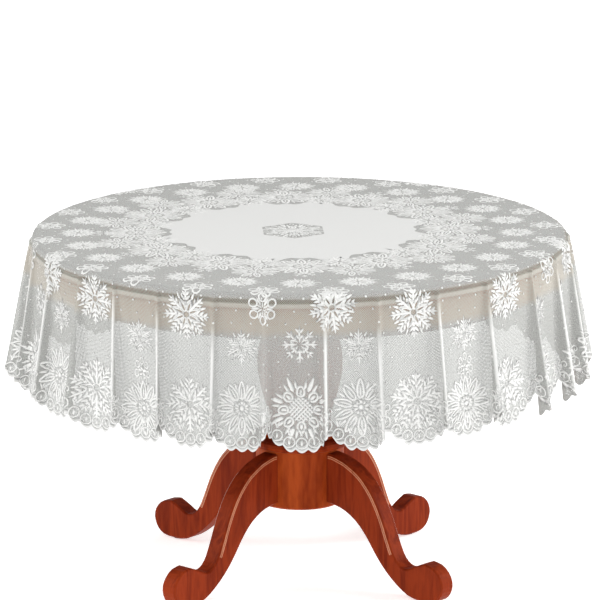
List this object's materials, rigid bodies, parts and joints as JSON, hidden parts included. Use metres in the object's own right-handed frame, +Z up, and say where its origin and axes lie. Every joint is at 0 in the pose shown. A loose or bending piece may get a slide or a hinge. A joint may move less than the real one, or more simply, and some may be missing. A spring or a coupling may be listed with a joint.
{
  "type": "tablecloth on a table",
  "caption": "Round lace tablecloth draped in narrow folds over a round pedestal table with a turned column and scroll-toed cabriole legs; the cloth lifts off.",
  "frame": {"origin": "on the floor, under the middle of the tabletop", "axes": "+Z up; the two apron joints and legs lie on the diagonals of X and Y"},
  "size_m": [1.2596, 1.2526, 0.7504],
  "materials": {
    "lace": "white machine-made lace, matt",
    "cherry_wood": "dark cherry stain under satin lacquer",
    "secondary_wood": "bare sawn hardwood",
    "zinc_steel": "bright zinc plate",
    "glide_plastic": "brown moulded plastic"
  },
  "bodies": {
    "table": {"apron_back": "cherry_wood", "apron_block_1": "secondary_wood", "apron_block_2": "secondary_wood", "apron_block_3": "secondary_wood", "apron_block_4": "secondary_wood", "apron_front": "cherry_wood", "apron_left": "cherry_wood", "apron_right": "cherry_wood", "bearer_back": "secondary_wood", "bearer_front": "secondary_wood", "bearer_screw_1": "zinc_steel", "bearer_screw_2": "zinc_steel", "bearer_screw_3": "zinc_steel", "bearer_screw_4": "zinc_steel", "dowel_back_left_high": "secondary_wood", "dowel_back_left_low": "secondary_wood", "dowel_back_right_high": "secondary_wood", "dowel_back_right_low": "secondary_wood", "dowel_front_left_high": "secondary_wood", "dowel_front_left_low": "secondary_wood", "dowel_front_right_high": "secondary_wood", "dowel_front_right_low": "secondary_wood", "foot_glide_back_left": "glide_plastic", "foot_glide_back_right": "glide_plastic", "foot_glide_front_left": "glide_plastic", "foot_glide_front_right": "glide_plastic", "leg_back_left": "cherry_wood", "leg_back_right": "cherry_wood", "leg_front_left": "cherry_wood", "leg_front_right": "cherry_wood", "mounting_plate": "secondary_wood", "nut_high": "zinc_steel", "nut_low": "zinc_steel", "pedestal_collar": "cherry_wood", "pedestal_drum": "cherry_wood", "plate_screw_1": "zinc_steel", "plate_screw_2": "zinc_steel", "plate_screw_3": "zinc_steel", "plate_screw_4": "zinc_steel", "tabletop": "cherry_wood", "tie_rod": "zinc_steel", "vase_column": "cherry_wood", "washer_high": "zinc_steel", "washer_low": "zinc_steel"},
    "tablecloth": {"tablecloth": "lace"}
  },
  "joints": [
    {"name": "cloth_lift", "type": "slide", "parent": "table", "child": "tablecloth", "axis": [0, 0, 1], "range_m": [0, 0.42]}
  ]
}
